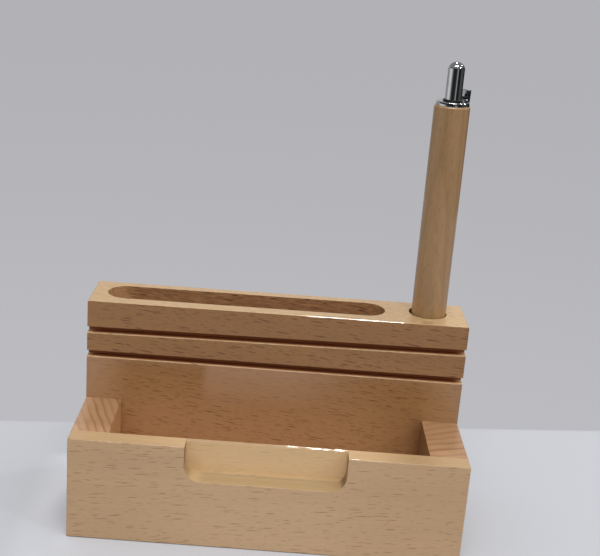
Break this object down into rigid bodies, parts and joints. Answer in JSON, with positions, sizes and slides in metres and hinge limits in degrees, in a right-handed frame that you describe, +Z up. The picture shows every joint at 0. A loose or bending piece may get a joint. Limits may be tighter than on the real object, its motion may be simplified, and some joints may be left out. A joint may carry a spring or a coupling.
{
  "type": "pen stand",
  "caption": "Wooden desk stand with a card tray, a long slot in its tall rear block and a push-button ball pen standing in a hole.",
  "frame": {"origin": "under the middle of the stand's footprint, on the surface that it rests on", "axes": "+Z up along the pen, +Y from the card tray to the rear block, +X to the right as one faces the tray"},
  "size_m": [0.12, 0.05, 0.1466],
  "materials": {
    "beech": "clear lacquer over beech, satin to gloss",
    "pen_wood": "thin clear lacquer over turned beech",
    "chrome": "polished",
    "brass": "turned",
    "white_plastic": "moulded",
    "black_plastic": "moulded",
    "refill_plastic": "ink-filled tube",
    "spring_steel": "drawn wire"
  },
  "bodies": {
    "stand": {"rear_block": "beech", "left_side_block": "beech", "right_side_block": "beech", "front_panel": "beech", "tray_floor": "beech"},
    "pen": {"pen_barrel": "pen_wood", "nose_cone": "chrome", "nose_insert": "brass", "guide_sleeve": "black_plastic", "top_ring": "chrome", "spring_clip": "chrome", "return_spring": "spring_steel"},
    "button": {"push_button": "chrome", "plunger_cam": "white_plastic"},
    "refill": {"rotor_cam": "white_plastic", "refill_tube": "refill_plastic", "refill_tip": "brass", "tip_ball": "spring_steel"}
  },
  "joints": [
    {"name": "pen_lift", "type": "slide", "parent": "stand", "child": "pen", "axis": [0, 0, 1], "range_m": [0, 0.064]},
    {"name": "button_press", "type": "slide", "parent": "pen", "child": "button", "axis": [0, 0, -1], "range_m": [0, 0.006], "stiffness_N_per_m": 250, "springref_m": -0.008},
    {"name": "refill_slide", "type": "slide", "parent": "pen", "child": "refill", "axis": [0, 0, -1], "range_m": [0, 0.006], "deforming": ["return_spring"]}
  ],
  "couplings": [
    {"joint": "refill_slide", "follows": "button_press", "ratio": 1}
  ]
}
